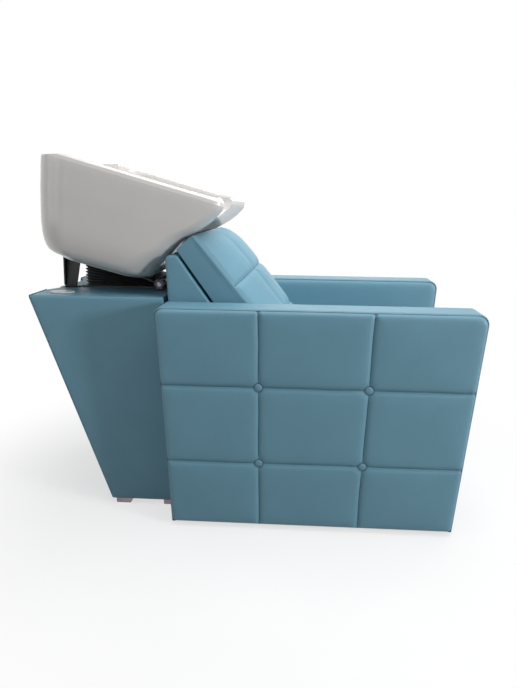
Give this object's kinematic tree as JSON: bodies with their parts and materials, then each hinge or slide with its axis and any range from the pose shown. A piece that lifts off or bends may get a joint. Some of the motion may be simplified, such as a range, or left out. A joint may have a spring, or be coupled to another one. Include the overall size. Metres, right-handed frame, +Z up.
{
  "type": "hair washing bed",
  "caption": "Upholstered hair washing bed with box arms, a reclined backrest and a pedestal carrying a tilting ceramic basin.",
  "frame": {"origin": "on the floor, under the middle of the whole piece's box", "axes": "+X from the basin to the client's feet, +Y to the client's left, +Z up"},
  "size_m": [1.232, 0.6984, 1.0081],
  "materials": {
    "vinyl_on_foam": "satin",
    "vinyl_skin": "satin",
    "plywood": "matte",
    "timber": "matte",
    "black_steel": "satin",
    "plated_steel": "satin",
    "foot_metal": "satin",
    "black_plastic": "matte",
    "grey_plastic": "matte",
    "knob_plastic": "satin",
    "pale_plastic": "satin",
    "white_glaze": "gloss",
    "polished_steel": "polished",
    "black_rubber": "matte",
    "bronze": "satin"
  },
  "bodies": {
    "base": {"arm_bolts": "plated_steel", "arm_buttons": "vinyl_on_foam", "arm_glides": "black_plastic", "back_support_cover": "vinyl_on_foam", "back_support_ribs": "timber", "backrest_board": "plywood", "backrest_bolts": "plated_steel", "backrest_cushion": "vinyl_on_foam", "backrest_spacers": "plated_steel", "base_beams": "timber", "bracket_bolts": "plated_steel", "carcass_cross_rails": "timber", "carcass_sides": "plywood", "hinge_bracket": "black_steel", "hinge_pin": "plated_steel", "left_arm_band": "vinyl_on_foam", "left_arm_boards": "plywood", "left_arm_inner_pad": "vinyl_on_foam", "left_arm_outer_pad": "vinyl_on_foam", "left_arm_rails": "timber", "lower_hose_clamp": "plated_steel", "pedestal_access_panel": "vinyl_skin", "pedestal_access_screws": "plated_steel", "pedestal_feet": "foot_metal", "pedestal_floor_board": "plywood", "pedestal_front_board": "plywood", "pedestal_left_cover": "vinyl_skin", "pedestal_rear_board": "plywood", "pedestal_rear_cover": "vinyl_skin", "pedestal_right_cover": "vinyl_skin", "pedestal_side_boards": "plywood", "pedestal_top_board": "plywood", "pedestal_top_pad": "vinyl_on_foam", "right_arm_band": "vinyl_on_foam", "right_arm_boards": "plywood", "right_arm_inner_pad": "vinyl_on_foam", "right_arm_outer_pad": "vinyl_on_foam", "right_arm_rails": "timber", "seat_cushion": "vinyl_on_foam", "seat_deck": "plywood", "seat_front_board": "plywood", "seat_front_pad": "vinyl_on_foam", "top_cap": "pale_plastic", "waste_outlet": "grey_plastic"},
    "basin_body": {"hinge_bushes": "bronze", "cradle_plate": "black_steel", "cradle_pads": "black_rubber", "guide_stay": "black_steel", "stay_screws": "plated_steel", "stop_pin": "plated_steel", "drain_bellows": "black_rubber", "basin": "white_glaze", "drain_gasket": "black_rubber", "drain_tail": "polished_steel", "drain_nut": "black_plastic", "upper_hose_clamp": "plated_steel", "drain_hose": "black_rubber"},
    "strainer": {"hair_strainer": "polished_steel"},
    "knob": {"tilt_knob": "knob_plastic"}
  },
  "joints": [
    {"name": "basin_tilt", "type": "hinge", "parent": "base", "child": "basin_body", "pos_m": [-0.278, 0, 0.682], "axis": [0, 1, 0], "range_deg": [-14.5, 0], "deforming": ["drain_bellows", "drain_hose"]},
    {"name": "strainer_lift", "type": "slide", "parent": "basin_body", "child": "strainer", "axis": [0.2504, 0, 0.9681], "range_m": [0, 0.27]},
    {"name": "knob_turn", "type": "hinge", "parent": "base", "child": "knob", "pos_m": [-0.278, -0.098, 0.682], "axis": [0, -1, 0], "range_deg": [0, 360]}
  ]
}
